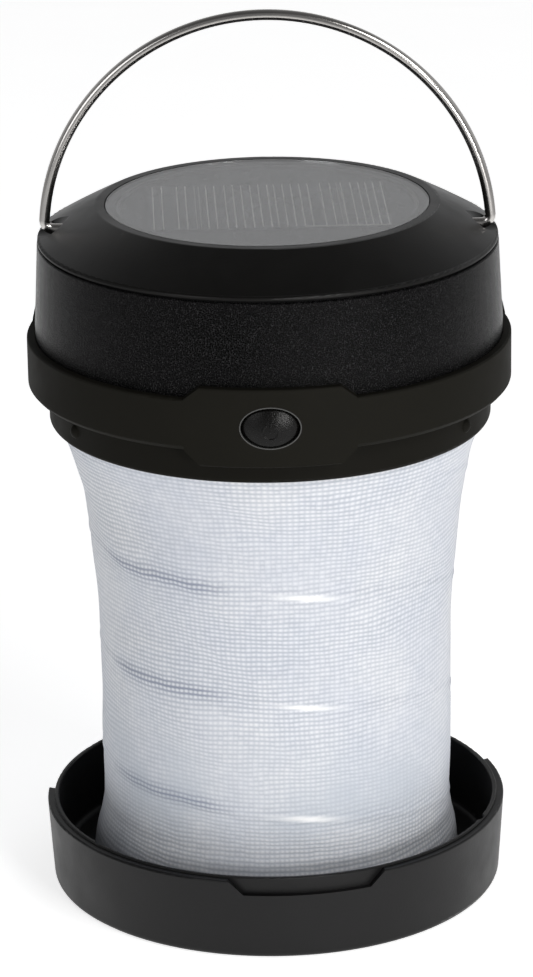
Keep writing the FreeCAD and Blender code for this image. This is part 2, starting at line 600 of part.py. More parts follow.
def bail_edges():
    q = math.sqrt(0.5)
    # the bend leaves the arc a hair off tangent, because the arc leans in by a0
    L = [Part.LineSegment(V(-PIN_IN, 0, PIVOT_Z), V(-cx, 0, PIVOT_Z)).toShape(),
         Part.Arc(V(-cx, 0, PIVOT_Z), V(-cx - PIVOT_BEND * q, 0, cz - PIVOT_BEND * q), V(-xe, 0, ze)).toShape(),
         Part.Arc(V(-xe, 0, ze), V(0, 0, BAIL_CZ + BAIL_R), V(xe, 0, ze)).toShape(),
         Part.Arc(V(xe, 0, ze), V(cx + PIVOT_BEND * q, 0, cz - PIVOT_BEND * q), V(cx, 0, PIVOT_Z)).toShape(),
         Part.LineSegment(V(cx, 0, PIVOT_Z), V(PIN_IN, 0, PIVOT_Z)).toShape()]
    return L


bail = None
wire = Part.Wire(bail_edges())
bail = sweep(wire, V(-PIN_IN, 0, PIVOT_Z), V(1, 0, 0), WIRE_R)
print("bail volume %.1f, length times section %.1f, length %.1f" % (
    bail.Volume, math.pi * WIRE_R ** 2 * wire.Length, wire.Length))
export("handle_wire", bail)
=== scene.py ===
import bpy
import bmesh
import math
import numpy as np
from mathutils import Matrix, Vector


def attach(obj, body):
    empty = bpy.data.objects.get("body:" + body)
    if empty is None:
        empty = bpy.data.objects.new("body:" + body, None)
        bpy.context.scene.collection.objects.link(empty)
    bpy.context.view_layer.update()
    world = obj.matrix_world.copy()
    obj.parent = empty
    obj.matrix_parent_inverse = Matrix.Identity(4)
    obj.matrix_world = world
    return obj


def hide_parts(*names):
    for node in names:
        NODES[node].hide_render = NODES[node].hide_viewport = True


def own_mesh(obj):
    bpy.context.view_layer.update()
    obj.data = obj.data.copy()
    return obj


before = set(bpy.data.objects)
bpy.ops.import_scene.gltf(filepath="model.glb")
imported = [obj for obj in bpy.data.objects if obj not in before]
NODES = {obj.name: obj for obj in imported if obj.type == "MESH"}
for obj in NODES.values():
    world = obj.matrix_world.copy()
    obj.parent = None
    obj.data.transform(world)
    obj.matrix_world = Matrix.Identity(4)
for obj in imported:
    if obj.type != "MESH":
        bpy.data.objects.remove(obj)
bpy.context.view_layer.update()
MM = 0.001
rng = np.random.default_rng(7)

# ------------------------------------------------------------------ sizes shared with the CAD model (mm)
TWIST = 7.6
SHADE = [(2.6, 35.25), (6, 35.0), (9, 34.6), (12, 33.8), (15, 33.3), (18, 33.2), (24, 33.35),
         (30, 33.4), (38, 33.3), (46, 33.35), (54, 33.5), (60, 33.85), (66, 34.4), (70, 34.75),
         (74, 35.15), (78, 35.7), (82, 36.5), (86, 37.5), (90, 38.8), (92, 39.35), (94.0, 39.45)]
SHADE_BOTTOM, SHADE_TOP = 2.6, 94.0
COIL_PITCH = 22.0
COIL_FRONT = 68.2          # height of one of the coil's crossings of the front
BTN_Z, BTN_A, BTN_B, BTN_DOME = 103.9, 5.2, 3.58, 9.5
PIVOT_Z, PIVOT_BEND, PIN_IN, WIRE_R = 128.25, 1.7, 34.6, 1.0
BAIL_R, BAIL_CZ = 41.2, 126.8
CELL_TURN = 2.0
CELL_TOP = 131.2

scene = bpy.context.scene
scene.view_settings.view_transform = "Standard"


# ------------------------------------------------------------------ camera, floor and light
def make_camera():
    cam = bpy.data.cameras.new("camera")
    ob = bpy.data.objects.new("camera", cam)
    scene.collection.objects.link(ob)
    dist, el, roll, focal, ox, zt = 823.614368, 0.337113997, 0.0144679644, 4374.9107, 4.8451243, 76.931762
    cam.sensor_width = 36.0
    cam.lens = focal * 36.0 / 977.0
    cam.shift_x = -ox / 977.0
    pos = Vector((0, -dist * math.cos(el), zt + dist * math.sin(el))) * MM
    aim = Vector((0, 0, zt)) * MM
    ob.location = pos
    q = (aim - pos).to_track_quat("-Z", "Y")
    m = q.to_matrix().to_4x4()
    from mathutils import Matrix
    m = m @ Matrix.Rotation(-roll, 4, "Z")
    ob.rotation_euler = m.to_euler()
    cam.clip_start = 0.01
    cam.clip_end = 50
    scene.camera = ob
    return ob


camera = make_camera()


def area_light(name, loc, aim, size, power, color=(1, 1, 1), size_y=None):
    L = bpy.data.lights.new(name, "AREA")
    L.energy = power
    L.color = color
    L.shape = "RECTANGLE"
    L.size = size
    L.size_y = size_y or size
    o = bpy.data.objects.new(name, L)
    o.location = loc
    o.rotation_euler = (Vector(aim) - Vector(loc)).to_track_quat("-Z", "Y").to_euler()
    scene.collection.objects.link(o)
    return o


area_light("key", (0.70, -0.74, 0.86), (0, 0, 0.09), 0.50, 4.6, (1.0, 0.995, 0.985))
area_light("low", (0.52, -0.98, 0.19), (0, 0, 0.10), 0.15, 4.4, (1.0, 0.99, 0.98), 0.24)
area_light("fill", (-0.80, -0.95, 0.50), (0, 0, 0.08), 0.60, 2.7, (0.985, 0.99, 1.0), 0.7)

# studio surroundings: light walls behind and to the right, dim in front, to the left and overhead
world = bpy.data.worlds.new("studio")
scene.world = world
world.use_nodes = True
wt = world.node_tree
bg = wt.nodes["Background"]
wc = wt.nodes.new("ShaderNodeTexCoord")
ws = wt.nodes.new("ShaderNodeSeparateXYZ")
wt.links.new(wc.outputs["Generated"], ws.inputs[0])


def wmath(op, a, b, c=None):
    n = wt.nodes.new("ShaderNodeMath")
    n.operation = op
    for i, v in enumerate((a, b, c)):
        if v is None:
            continue
        if isinstance(v, (int, float)):
            n.inputs[i].default_value = v
        else:
            wt.links.new(v, n.inputs[i])
    return n.outputs[0]


def wstep(fac, a, b, c, d):
    n = wt.nodes.new("ShaderNodeMapRange")
    n.interpolation_type = "SMOOTHSTEP"
    for i, v in enumerate((a, b, c, d)):
        n.inputs[i + 1].default_value = v
    wt.links.new(fac, n.inputs[0])
    return n.outputs[0]


around = wstep(wmath("MULTIPLY_ADD", ws.outputs[0], 0.25, ws.outputs[1]), -0.75, 0.60, 0.20, 0.55)
above = wstep(ws.outputs[2], 0.42, 0.92, 1.0, 0.30)
bg.inputs[0].default_value = (0.985, 0.99, 1.0, 1)
wt.links.new(wmath("MULTIPLY", around, above), bg.inputs[1])


# ------------------------------------------------------------------ material helpers
class Mat:
    def __init__(self, name):
        self.m = bpy.data.materials.new(name)
        self.m.use_nodes = True
        self.t = self.m.node_tree
        self.t.nodes.clear()
        self.out = self.t.nodes.new("ShaderNodeOutputMaterial")
        self.p = self.t.nodes.new("ShaderNodeBsdfPrincipled")
        self.t.links.new(self.p.outputs[0], self.out.inputs[0])

    def n(self, kind, **inputs):
        node = self.t.nodes.new(kind)
        for k, v in inputs.items():
            setattr(node, k, v)
        return node

    def link(self, a, b):
        self.t.links.new(a, b)

    def coords(self, kind="Object"):
        return self.n("ShaderNodeTexCoord").outputs[kind]

    def noise(self, vec, scale, detail=2.0, rough=0.5):
        n = self.n("ShaderNodeTexNoise")
        n.inputs["Scale"].default_value = scale
        n.inputs["Detail"].default_value = detail
        n.inputs["Roughness"].default_value = rough
        self.link(vec, n.inputs["Vector"])
        return n.outputs["Fac"]

    def voronoi(self, vec, scale, feature="F1"):
        n = self.n("ShaderNodeTexVoronoi")
        n.feature = feature
        n.inputs["Scale"].default_value = scale
        self.link(vec, n.inputs["Vector"])
        return n.outputs["Distance"]

    def ramp(self, fac, stops):
        r = self.n("ShaderNodeValToRGB")
        while len(r.color_ramp.elements) < len(stops):
            r.color_ramp.elements.new(0.5)
        for e, (pos, col) in zip(r.color_ramp.elements, stops):
            e.position = pos
            e.color = (*col, 1) if len(col) == 3 else col
        self.link(fac, r.inputs[0])
        return r.outputs[0]

    def map(self, fac, a, b, c, d):
        n = self.n("ShaderNodeMapRange")
        for i, v in enumerate((a, b, c, d)):
            n.inputs[i + 1].default_value = v
        self.link(fac, n.inputs[0])
        return n.outputs[0]

    def math(self, op, a, b=None, c=None):
        n = self.n("ShaderNodeMath", operation=op)
        for i, v in enumerate((a, b, c)):
            if v is None:
                continue
            if isinstance(v, (int, float)):
                n.inputs[i].default_value = v
            else:
                self.link(v, n.inputs[i])
        return n.outputs[0]

    def bump(self, height, strength, distance, normal=None):
        b = self.n("ShaderNodeBump")
        b.inputs["Strength"].default_value = strength
        b.inputs["Distance"].default_value = distance
        self.link(height, b.inputs["Height"])
        if normal is not None:
            self.link(normal, b.inputs["Normal"])
        return b.outputs[0]

    def set(self, **kw):
        for k, v in kw.items():
            s = self.p.inputs[k.replace("_", " ")]
            if hasattr(v, "is_linked") or hasattr(v, "links"):
                self.link(v, s)
            else:
                s.default_value = v
        return self


def plastic(name, dark, light, rough, spec, grain_mm, grain, blotch_mm=9.0, rough_var=0.05):
    """Moulded plastic: fine grain in relief, a little cloudiness in colour and gloss."""
    m = Mat(name)
    c = m.coords()
    cloud = m.noise(c, 1000.0 / blotch_mm, 3.0, 0.6)
    fine = m.noise(c, 1000.0 / grain_mm, 2.0, 0.55)
    m.link(m.ramp(cloud, [(0.3, dark), (0.75, light)]), m.p.inputs["Base Color"])
    m.link(m.map(cloud, 0.3, 0.7, rough - rough_var, rough + rough_var), m.p.inputs["Roughness"])
    m.link(m.bump(fine, grain, 0.00006), m.p.inputs["Normal"])
    m.p.inputs["Specular IOR Level"].default_value = spec
    return m.m


def metal(name, base, rough, streak_mm=0.4, streak=0.12):
    m = Mat(name)
    c = m.coords()
    a = m.noise(c, 1000.0 / streak_mm, 3.0, 0.6)
    b = m.noise(c, 60.0, 2.0, 0.5)
    m.link(m.ramp(b, [(0.3, tuple(0.88 * x for x in base)), (0.7, base)]), m.p.inputs["Base Color"])
    m.link(m.map(a, 0.3, 0.7, rough * 0.8, rough * 1.25), m.p.inputs["Roughness"])
    m.link(m.bump(a, streak, 0.00003), m.p.inputs["Normal"])
    m.p.inputs["Metallic"].default_value = 1.0
    return m.m


M = {}
M["tray"] = plastic("tray_plastic", (0.0034, 0.0033, 0.0035), (0.0046, 0.0045, 0.0047), 0.44, 0.26, 0.45, 0.25)
M["cover"] = plastic("cover_plastic", (0.0036, 0.0034, 0.0031), (0.0052, 0.0049, 0.0045), 0.34, 0.20, 0.35, 0.30)
M["ring"] = plastic("ring_plastic", (0.0092, 0.0087, 0.0066), (0.0108, 0.0101, 0.0078), 0.62, 0.05, 0.4, 0.12)
M["collar"] = plastic("collar_plastic", (0.0080, 0.0075, 0.0057), (0.0094, 0.0088, 0.0068), 0.6, 0.05, 0.4, 0.15)
M["rubber"] = plastic("rubber_soft", (0.012, 0.012, 0.0115), (0.017, 0.0165, 0.016), 0.72, 0.25, 0.5, 0.3)
M["seal"] = plastic("seal_rubber", (0.004, 0.004, 0.004), (0.006, 0.006, 0.006), 0.8, 0.1, 0.4, 0.2)
M["white"] = plastic("white_plastic", (0.72, 0.73, 0.74), (0.82, 0.82, 0.83), 0.5, 0.4, 0.5, 0.15)
M["steel"] = metal("zinc_steel", (0.55, 0.56, 0.58), 0.32)
M["wire"] = metal("spring_wire", (0.50, 0.52, 0.56), 0.30)
M["inox"] = metal("stainless_wire", (0.60, 0.58, 0.56), 0.16, 0.25, 0.10)


def make_barrel_mat():
    """Sparkly moulded texture: small flat pits at many angles over a near-black plastic, with sparse light specks
    painted into the colour as glints.
    """
    m = Mat("barrel_plastic")
    c = m.coords()
    cloud = m.noise(c, 110.0, 3.0, 0.6)
    pits = m.voronoi(c, 1000.0 / 0.25)
    fine = m.noise(c, 1000.0 / 0.12, 2.0, 0.6)
    grain = m.noise(c, 1000.0 / 0.22, 1.0, 0.5)
    body = m.ramp(cloud, [(0.3, (0.0010, 0.0010, 0.0011)), (0.75, (0.0018, 0.0018, 0.0019))])
    # painted glints: sparse light specks mixed into the base colour
    painted_glint_fleck = m.n("ShaderNodeMix", data_type="RGBA")
    m.link(m.map(grain, 0.56, 0.74, 0.0, 1.0), painted_glint_fleck.inputs[0])
    m.link(body, painted_glint_fleck.inputs[6])
    painted_glint_fleck.inputs[7].default_value = (0.030, 0.029, 0.030, 1)
    m.link(painted_glint_fleck.outputs[2], m.p.inputs["Base Color"])
    m.link(m.map(fine, 0.3, 0.7, 0.17, 0.32), m.p.inputs["Roughness"])
    n = m.bump(pits, 0.8, 0.00008)
    m.link(m.bump(fine, 0.9, 0.00006, n), m.p.inputs["Normal"])
    m.p.inputs["Specular IOR Level"].default_value = 0.065
    return m.m


M["barrel"] = make_barrel_mat()


def make_button_mat():
    m = Mat("button_gloss")
    c = m.coords()
    g = m.noise(c, 1000.0 / 0.22, 2.0, 0.6)
    v = m.voronoi(c, 1000.0 / 0.30)
    m.link(m.ramp(g, [(0.3, (0.0014, 0.0013, 0.0011)), (0.7, (0.0028, 0.0026, 0.0023))]), m.p.inputs["Base Color"])
    m.link(m.map(g, 0.3, 0.7, 0.22, 0.34), m.p.inputs["Roughness"])
    n = m.bump(g, 0.7, 0.00006)
    m.link(m.bump(v, 0.35, 0.00005, n), m.p.inputs["Normal"])
    m.p.inputs["Specular IOR Level"].default_value = 0.20
    return m.m


M["button"] = make_button_mat()
M["bezel"] = plastic("bezel_gloss", (0.040, 0.040, 0.038), (0.055, 0.055, 0.052), 0.20, 0.8, 0.3, 0.05)


def make_board_mat(name, dark, light, spec=0.4):
    m = Mat(name)
    c = m.coords()
    v = m.voronoi(c, 420.0, "DISTANCE_TO_EDGE")
    n = m.noise(c, 900.0, 2.0)
    m.link(m.ramp(v, [(0.02, light), (0.06, dark)]), m.p.inputs["Base Color"])
    m.link(m.map(n, 0.3, 0.7, 0.25, 0.4), m.p.inputs["Roughness"])
    m.link(m.bump(v, 0.3, 0.00004), m.p.inputs["Normal"])
    m.p.inputs["Specular IOR Level"].default_value = spec
    return m.m


M["board"] = make_board_mat("green_board", (0.006, 0.055, 0.022), (0.012, 0.10, 0.04))
M["panel_board"] = make_board_mat("panel_board", (0.010, 0.010, 0.012), (0.012, 0.012, 0.014), 0.03)
M["white_board"] = make_board_mat("white_board", (0.72, 0.72, 0.70), (0.62, 0.62, 0.60))
M["foil"] = metal("battery_foil", (0.62, 0.63, 0.65), 0.35, 1.2, 0.35)
M["chip"] = plastic("chip_black", (0.012, 0.012, 0.013), (0.02, 0.02, 0.021), 0.45, 0.4, 0.3, 0.2, 2.0)
M["lead"] = plastic("lead_red", (0.30, 0.015, 0.012), (0.38, 0.02, 0.015), 0.4, 0.5, 0.4, 0.1)
M["led"] = plastic("led_phosphor", (0.72, 0.60, 0.14), (0.80, 0.70, 0.22), 0.35, 0.5, 0.3, 0.1, 1.0)


def make_lens_mat():
    m = Mat("frosted_lens")
    c = m.coords()
    n = m.noise(c, 1800.0, 2.0)
    m.link(m.ramp(n, [(0.3, (0.78, 0.80, 0.82)), (0.7, (0.86, 0.87, 0.88))]), m.p.inputs["Base Color"])
    m.link(m.map(n, 0.3, 0.7, 0.45, 0.6), m.p.inputs["Roughness"])
    m.link(m.bump(n, 0.25, 0.00004), m.p.inputs["Normal"])
    m.p.inputs["Transmission Weight"].default_value = 0.6
    m.p.inputs["IOR"].default_value = 1.49
    return m.m


M["lens"] = make_lens_mat()


def make_window_mat():
    m = Mat("window_clear")
    c = m.coords()
    n = m.noise(c, 160.0, 3.0)
    f = m.noise(c, 3000.0, 1.0)
    m.link(m.ramp(n, [(0.3, (0.93, 0.94, 0.95)), (0.7, (0.97, 0.975, 0.98))]), m.p.inputs["Base Color"])
    m.link(m.map(n, 0.3, 0.7, 0.08, 0.12), m.p.inputs["Roughness"])
    m.link(m.bump(f, 0.008, 0.00001), m.p.inputs["Normal"])
    m.p.inputs["Transmission Weight"].default_value = 1.0
    m.p.inputs["IOR"].default_value = 1.46
    return m.m


M["window"] = make_window_mat()


def make_cell_mat():
    m = Mat("silicon_cell")
    c = m.coords()
    v = m.voronoi(c, 260.0)
    n = m.noise(c, 90.0, 2.0)
    m.link(m.ramp(v, [(0.0, (0.010, 0.011, 0.018)), (0.8, (0.016, 0.018, 0.028))]), m.p.inputs["Base Color"])
    m.link(m.map(n, 0.3, 0.7, 0.22, 0.34), m.p.inputs["Roughness"])
    m.link(m.bump(v, 0.1, 0.00002), m.p.inputs["Normal"])
    m.p.inputs["Specular IOR Level"].default_value = 0.04
    return m.m


M["cell"] = make_cell_mat()
M["silver"] = plastic("silver_print", (0.78, 0.76, 0.73), (0.88, 0.86, 0.83), 0.5, 0.5, 0.3, 0.1, 1.0)

NODE_MAT = {
    "base_tray": "tray", "lower_clamp_ring": "white", "base_screws": "steel", "base_reflector": "white",
    "upper_hoop": "wire", "lower_collar": "collar", "upper_clamp_ring": "white", "lamp_plate": "white",
    "lamp_lens": "lens", "led_board": "white_board", "leds": "led", "barrel_housing": "barrel",
    "control_ring": "ring", "button_bezel": "bezel", "tact_switch": "steel", "switch_board": "board",
    "main_board": "board", "board_components": "chip", "battery_pad": "seal", "battery": "foil",
    "panel_leads": "lead", "lamp_leads": "lead", "plate_screws": "steel", "board_screws": "steel",
    "charging_socket": "steel", "port_board": "board", "port_cover": "rubber", "seam_seal": "seal",
    "top_cover": "cover", "window_gasket": "seal", "solar_window": "window", "solar_board": "panel_board",
    "solar_cell": "cell", "handle_wire": "inox", "power_button": "button", "fabric_shade": "white",
    "coil_spring": "wire"}
for name, key in NODE_MAT.items():
    o = NODES[name]
    o.data.materials.clear()
    o.data.materials.append(M[key])


# ------------------------------------------------------------------ mesh helpers
def make_object(name, verts, faces, mat, smooth=True, uvs=None):
    me = bpy.data.meshes.new(name)
    me.from_pydata([tuple(v) for v in verts], [], faces)
    me.validate()
    if smooth:
        me.polygons.foreach_set("use_smooth", [True] * len(me.polygons))
    if uvs is not None:
        layer = me.uv_layers.new(name="weave")
        layer.data.foreach_set("uv", np.asarray(uvs, np.float32).ravel())
    me.materials.append(mat)
    me.update()
    ob = bpy.data.objects.new(name, me)
    scene.collection.objects.link(ob)
    return ob


def recalc(ob):
    bm = bmesh.new()
    bm.from_mesh(ob.data)
    bmesh.ops.recalc_face_normals(bm, faces=bm.faces)
    bm.to_mesh(ob.data)
    bm.free()


def tube(name, path, radius, mat, sides=20, caps=True):
    """Round tube along a polyline of points (mm), with a steady frame."""
    P = np.asarray(path, float)
    T = np.gradient(P, axis=0)
    T /= np.linalg.norm(T, axis=1)[:, None]
    n = np.cross(T[0], [0.123, 0.456, 0.88])
    n /= np.linalg.norm(n)
    rings = []
    a = np.linspace(0, 2 * math.pi, sides, endpoint=False)
    for p, t in zip(P, T):
        n = n - t * np.dot(n, t)
        n /= np.linalg.norm(n)
        b = np.cross(t, n)
        rings.append(p + radius * (np.cos(a)[:, None] * n + np.sin(a)[:, None] * b))
    V = np.concatenate(rings) * MM
    F = []
    for i in range(len(P) - 1):
        for j in range(sides):
            k = (j + 1) % sides
            F.append((i * sides + j, i * sides + k, (i + 1) * sides + k, (i + 1) * sides + j))
    if caps:
        F.append(tuple(range(sides))[::-1])
        F.append(tuple(range((len(P) - 1) * sides, len(P) * sides)))
    ob = make_object(name, V, F, mat)
    recalc(ob)
    return ob


# ------------------------------------------------------------------ fabric sleeve
sz = np.array([p[0] for p in SHADE])
sr = np.array([p[1] for p in SHADE])


def smooth_profile(z):
    """Cubic through the sleeve's radii."""
    m = np.gradient(sr, sz)
    i = np.clip(np.searchsorted(sz, z) - 1, 0, len(sz) - 2)
    h = sz[i + 1] - sz[i]
    t = (z - sz[i]) / h
    return ((2 * t ** 3 - 3 * t ** 2 + 1) * sr[i] + (t ** 3 - 2 * t ** 2 + t) * h * m[i]
            + (-2 * t ** 3 + 3 * t ** 2) * sr[i + 1] + (t ** 3 - t ** 2) * h * m[i + 1])


def coil_offset(theta, z):
    """Signed height over the nearest turn of the coil; theta from the front towards +X."""
    zc = COIL_FRONT - COIL_PITCH * theta / (2 * math.pi) + 2.9 * (np.cos(theta) - 1)
    d = z - zc
    return d - COIL_PITCH * np.round(d / COIL_PITCH)


def lumps(theta, z, seeds):
    """Smooth periodic noise on the cylinder, from a few seeded waves."""
    g = np.random.default_rng(seeds)
    out = np.zeros(np.broadcast(theta, z).shape)
    for _ in range(14):
        k = g.integers(2, 15)
        lam = g.uniform(9, 40)
        out += g.uniform(0.3, 1.0) / (1 + 0.12 * k) * np.sin(k * theta + 2 * math.pi * z / lam + g.uniform(0, 6.28))
    return out / 4.0


ROWS = 104                 # rows of weave from hem to hem, two steps of the mesh each
HEM_STEP = 198             # the sleeve's top band above this step stays on the hoop
HEM_Z = SHADE_BOTTOM + (SHADE_TOP - SHADE_BOTTOM) * HEM_STEP / (2.0 * ROWS)


def sleeve(name, j0, j1, mat):
    """The woven sleeve between two steps of its height, as a closed thin shell."""
    dots = 220
    nu = dots * 2
    steps = np.arange(j0, j1 + 1)
    nv = len(steps)
    th = np.linspace(-math.pi, math.pi, nu, endpoint=False)[None, :]
    zz = (SHADE_BOTTOM + (SHADE_TOP - SHADE_BOTTOM) * steps / (2.0 * ROWS))[:, None]
    r0 = smooth_profile(zz) + 0 * th
    ends = np.clip((zz - 4) / 8, 0, 1) * np.clip((91.5 - zz) / 8, 0, 1)
    d = coil_offset(th, zz)
    ridge = 0.10 * np.exp(-(d / 0.62) ** 2) - 0.05 * np.exp(-((np.abs(d) - 1.5) / 0.8) ** 2)
    sag = -0.10 * (1 - np.cos(2 * math.pi * d / COIL_PITCH)) / 2
    wave = 0.15 * lumps(th, zz, 3)
    # fine gathers that run along each turn of the coil
    gather = 0.06 * np.exp(-(d / 5.0) ** 2) * lumps(th * 3.0, zz * 2.2, 5)
    seam = np.clip(np.abs(zz - HEM_Z) / 3.0, 0, 1)
    r = r0 + ends * (ridge + sag + seam * (wave + gather))
    i = np.arange(nu)[None, :]
    j = steps[:, None]
    knuckle = np.where((i % 2 == 0) & (j % 2 == 1), 0.022, np.where(j % 2 == 0, -0.020, -0.004))
    r = r + knuckle
    # the sleeve stands a touch to the right of the tray's axis, and a little fuller there
    push = 0.42 * np.clip((zz - 6) / 20, 0, 1) * np.clip((92 - zz) / 14, 0, 1)
    thw = th + ends * seam * 0.010 * lumps(th, zz, 17)
    x = r * np.sin(thw) + push
    y = -r * np.cos(thw)
    dz = ends * seam * (0.80 * lumps(th, zz, 11) + 0.20 * lumps(th * 3.0, zz * 2.0, 29))
    z = zz + dz
    outer = np.stack([x, y, z], -1)
    # plain inside wall, bridged to the outer wall at both hems
    ni = max(4, (j1 - j0) // 9)
    zi = np.linspace(zz[0, 0], zz[-1, 0], ni)[:, None]
    pi_ = 0.42 * np.clip((zi - 6) / 20, 0, 1) * np.clip((92 - zi) / 14, 0, 1)
    ri = smooth_profile(zi) - 0.42 + 0 * th
    di = coil_offset(th, zi)
    ri = ri - 0.2 * (1 - np.cos(2 * math.pi * di / COIL_PITCH)) / 2 * np.clip((zi - 4) / 8, 0, 1) * np.clip((91.5 - zi) / 8, 0, 1)
    inner = np.stack([ri * np.sin(th) + pi_, -ri * np.cos(th), zi + 0 * th], -1)
    V = np.concatenate([outer.reshape(-1, 3), inner.reshape(-1, 3)]) * MM
    F, UV = [], []
    u = np.arange(nu + 1) / 2.0
    v = steps / 2.0

    def quad(a, b, c, d_, uv):
        F.append((a, b, c, d_))
        UV.extend(uv)

    for jj in range(nv - 1):
        for ii in range(nu):
            k = (ii + 1) % nu
            quad(jj * nu + ii, jj * nu + k, (jj + 1) * nu + k, (jj + 1) * nu + ii,
                 [(u[ii], v[jj]), (u[ii + 1], v[jj]), (u[ii + 1], v[jj + 1]), (u[ii], v[jj + 1])])
    o = nv * nu
    vi = np.linspace(v[0], v[-1], ni)
    for jj in range(ni - 1):
        for ii in range(nu):
            k = (ii + 1) % nu
            quad(o + (jj + 1) * nu + ii, o + (jj + 1) * nu + k, o + jj * nu + k, o + jj * nu + ii,
                 [(u[ii], vi[jj + 1]), (u[ii + 1], vi[jj + 1]), (u[ii + 1], vi[jj]), (u[ii], vi[jj])])
    for ii in range(nu):
        k = (ii + 1) % nu
        quad(o + ii, o + k, k, ii, [(u[ii], v[0]), (u[ii + 1], v[0]), (u[ii + 1], v[0]), (u[ii], v[0])])
        t, ti = (nv - 1) * nu, o + (ni - 1) * nu
        quad(t + ii, t + k, ti + k, ti + ii,
             [(u[ii], v[-1]), (u[ii + 1], v[-1]), (u[ii + 1], v[-1]), (u[ii], v[-1])])
    ob = make_object(name, V, F, mat, uvs=UV)
    # the shell's cut edges stay crisp
    ends_ = [set(range(q, q + nu)) for q in (0, (nv - 1) * nu, o, o + (ni - 1) * nu)]
    for e in ob.data.edges:
        p0, p1 = e.vertices
        if any(p0 in g and p1 in g for g in ends_):
            e.use_edge_sharp = True
    # where the wire lies close behind the cloth (smooth crest with a painted highlight), and painted shade in the rows
    # beside the wire, partly the wire showing through
    inside = np.clip((zz - 6) / 7, 0, 1) * np.clip((90 - zz) / 6, 0, 1)
    # painted shade: how dark the rows beside the wire are, set by angle around the sleeve and strongest at the left
    # front
    painted_shade_strength = sum(h * np.exp(-((th - c) / w) ** 2) for c, w, h in ((-0.70, 0.42, 1.0), (0.62, 0.4, 0.30), (1.75, 0.4, 0.9),
                                                                 (-2.05, 0.35, 0.5), (2.95, 0.3, 0.8), (-3.33, 0.3, 0.8)))
    painted_shade_strength = np.clip(painted_shade_strength + 0.06 + 0.08 * lumps(th, zz, 21), 0, 1)
    # painted highlight: the few set angles around the sleeve where the crest's colour is whitened
    painted_highlight_spots = sum(np.exp(-((th - c) / w) ** 2) for c, w in ((0.17, 0.15), (2.35, 0.22), (-2.5, 0.18)))
    smooth_crest_highlight = np.exp(-(d / 0.52) ** 4) * painted_highlight_spots * inside
    # thin dark lines just above and below the wire: painted shade on the ridge's flanks
    lines = np.exp(-((d - 0.95) / 0.30) ** 2) + 0.55 * np.exp(-((d + 0.95) / 0.30) ** 2)
    painted_shade_band = np.exp(-((d - 0.2) / 1.4) ** 2) * np.clip((painted_shade_strength - 0.30) / 0.40, 0, 1)
    wire_and_painted_shade = np.clip(np.maximum(0.55 * lines * (0.35 + 0.65 * painted_shade_strength), painted_shade_band), 0, 1) * inside
    low = np.clip((42 - zz) / 14, 0, 1) * np.clip((zz - 16) / 7, 0, 1)
    for label, field in (("smooth_crest_highlight", smooth_crest_highlight), ("wire_and_painted_shade", wire_and_painted_shade),
                         ("low", low + 0 * th)):
        att = ob.data.attributes.new(label, "FLOAT", "POINT")
        vals = np.zeros(len(V), np.float32)
        vals[:o] = field.reshape(-1)
        att.data.foreach_set("value", vals)
    return ob


